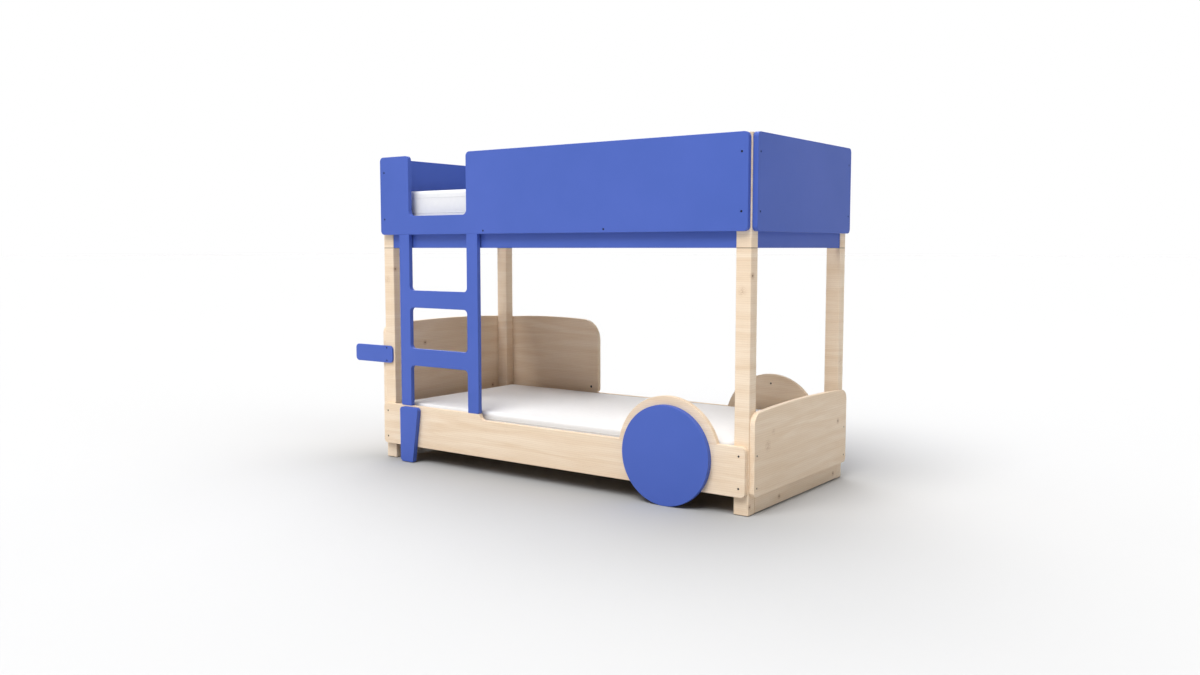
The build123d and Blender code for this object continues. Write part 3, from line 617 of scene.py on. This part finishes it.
def welt_surface(path, radius, sides=8):
    """A closed tube. At each point of the path, the circle is spanned by the upright and by the
    outward direction, which is the path's direction turned a quarter turn."""
    ahead = np.roll(path, -1, axis=0) - np.roll(path, 1, axis=0)
    ahead /= np.linalg.norm(ahead, axis=1, keepdims=True)
    upright = np.array([0.0, 0.0, 1.0])
    outward = np.cross(ahead, upright)
    outward /= np.linalg.norm(outward, axis=1, keepdims=True)
    turn = np.linspace(0, 2 * np.pi, sides, endpoint=False)
    ring = np.cos(turn)[None, :, None] * outward[:, None] + np.sin(turn)[None, :, None] * upright
    points = path[:, None] + radius * ring
    index = np.arange(len(path) * sides).reshape(len(path), sides)
    ahead_index, side_index = np.roll(index, -1, axis=0), np.roll(index, -1, axis=1)
    quads = np.stack([index, ahead_index, np.roll(ahead_index, -1, axis=1), side_index], axis=-1)
    return points.reshape(-1, 3), quads.reshape(-1, 4)


# %% [markdown]
# ### Both mattresses
# The two beds take the same mattress, so one loop makes both. Each gets its own seed, and its
# waves differ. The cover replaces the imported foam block, rides on the mattress's own body, and
# carries one subdivision that rounds what the grid left straight.

# %% Make both mattresses
for bed, seed in (("lower", 11), ("upper", 23)):
    node = bed + "_mattress"
    low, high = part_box(node)
    points, quads, welts = mattress_surface(low, high)
    points = settle_cover(points, low, high, seed)
    cover = add_piece(bed + "_mattress_cover", points, quads, cotton, node)
    pinned = np.flatnonzero(points[:, 2] < low[2] + EDGE)
    points = fill_cover(cover, pinned, MOST_MOVE)
    smooth = cover.modifiers.new("smooth", "SUBSURF")
    smooth.levels = smooth.render_levels = 1
    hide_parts(node)
    for place, loop in zip(("top", "bottom"), welts):
        tube = add_piece(f"{bed}_{place}_welt", *welt_surface(points[loop], WELT_RADIUS), cotton, node)
    print(bed, "cover has", len(points), "points and", len(quads), "quads")

# %% [markdown]
# ## Studio
# The bed stands on a pale floor that fades into a white backdrop. The light comes from wide soft
# boxes: a strong one high above the ladder side, a pair behind the head end that throws the soft
# shadow forwards and towards the foot end, and weak ones all round that fill the shadows. Each box
# is a sun with an angle of 40 degrees, so its shadows blur with distance. The sky itself gives
# little light, which keeps the inside of the lower bed dim, but the camera sees it white.

# %% Floor
floor_mesh = bpy.data.meshes.new("studio_floor")
reach = 150.0
corners = [(-reach, -reach, 0), (reach, -reach, 0), (reach, reach, 0), (-reach, reach, 0)]
floor_mesh.from_pydata(corners, [], [(0, 1, 2, 3)])
floor = bpy.data.objects.new("studio_floor", floor_mesh)
bpy.context.scene.collection.objects.link(floor)
paper, tree, shader, place = new_material(
    "matt_backdrop_paper", **{"Roughness": 1.0, "Specular IOR Level": 0.0}
)
# Painted shadow: the paper is painted grey at the bed, standing in for the soft shadow round it, and
# whiter away from it. The grey fades with a power of the distance outside the bed's outline, so the floor
# ends without a line
outline = add_node(tree, "VectorMath", {0: place}, 0, operation="ABSOLUTE")
outline = add_node(tree, "VectorMath", {0: outline, 1: (1.0, 0.47, 0.0)}, 0, operation="SUBTRACT")
outline = add_node(tree, "VectorMath", {0: outline, 1: (0.0, 0.0, 0.0)}, 0, operation="MAXIMUM")
away = add_node(tree, "VectorMath", {0: outline}, "Value", operation="LENGTH")
painted_shadow = add_node(tree, "Math", {0: 0.11, 1: away}, 0, operation="POWER")
paper_and_painted_shadow = add_node(tree, "Mix", {0: painted_shadow, 6: colour("#D2D2D2"), 7: colour("#A3A3A3")}, 2, data_type="RGBA")
tree.links.new(paper_and_painted_shadow, shader.inputs["Base Color"])
floor_mesh.materials.append(paper)
print("floor is", 2 * reach, "m wide")

# %% Backdrop
world = bpy.data.worlds.new("white_backdrop")
bpy.context.scene.world = world
world.use_nodes = True
sky = world.node_tree
sky.nodes.clear()
seen = add_node(sky, "LightPath", out="Is Camera Ray")
white = add_node(sky, "Background", {"Color": (1.0, 1.0, 1.0, 1.0), "Strength": 1.0}, 0)
dim = add_node(sky, "Background", {"Color": (1.0, 1.0, 1.0, 1.0), "Strength": 0.04}, 0)
backdrop = add_node(sky, "MixShader", {0: seen, 1: dim, 2: white}, 0)
add_node(sky, "OutputWorld", {"Surface": backdrop})
print("backdrop nodes", len(sky.nodes))

# %% Soft boxes
BOX_ANGLE = 40
# Name, height above the horizon, direction from +X towards +Y, both in degrees, and strength
SOFT_BOXES = (
    ("above_the_ladder_side", 60, 270, 2.6),
    ("in_front_of_the_ladder_side", 45, 270, 0.55),
    ("behind_the_head_end_high", 60, 135, 0.65),
    ("behind_the_head_end_low", 30, 135, 1.2),
    ("front_left_fill", 8, 225, 0.4),
    ("head_end_fill", 30, 180, 0.4),
    ("foot_end_fill", 35, 0, 0.55),
    ("back_fill_high", 60, 90, 0.3),
    ("back_fill_low", 8, 90, 0.7),
)
for name, height, direction, strength in SOFT_BOXES:
    data = bpy.data.lights.new(name, "SUN")
    data.energy = strength
    data.angle = np.radians(BOX_ANGLE)
    box = bpy.data.objects.new(name, data)
    box.rotation_euler = (0.0, np.radians(90 - height), np.radians(direction))
    bpy.context.scene.collection.objects.link(box)
print("soft boxes", len(SOFT_BOXES))

# %% [markdown]
# ## Camera
# The camera stands at the foot end, in front of the ladder side, at a seated adult's eye height
# and a little over four metres away, and looks slightly down.

# %% Camera
camera_data = bpy.data.cameras.new("camera")
camera_data.sensor_width = 36.0
camera_data.lens = 31.41
camera = bpy.data.objects.new("camera", camera_data)
camera.location = (3.2033, -4.2760, 1.1121)
camera.rotation_euler = (np.radians(90 - 4.891), 0.0, np.radians(36.158))
camera_data.clip_end = 500.0
bpy.context.scene.collection.objects.link(camera)
bpy.context.scene.camera = camera
bpy.context.scene.view_settings.view_transform = "Standard"
print("camera at", tuple(camera.location), "with a lens of", camera_data.lens, "mm")
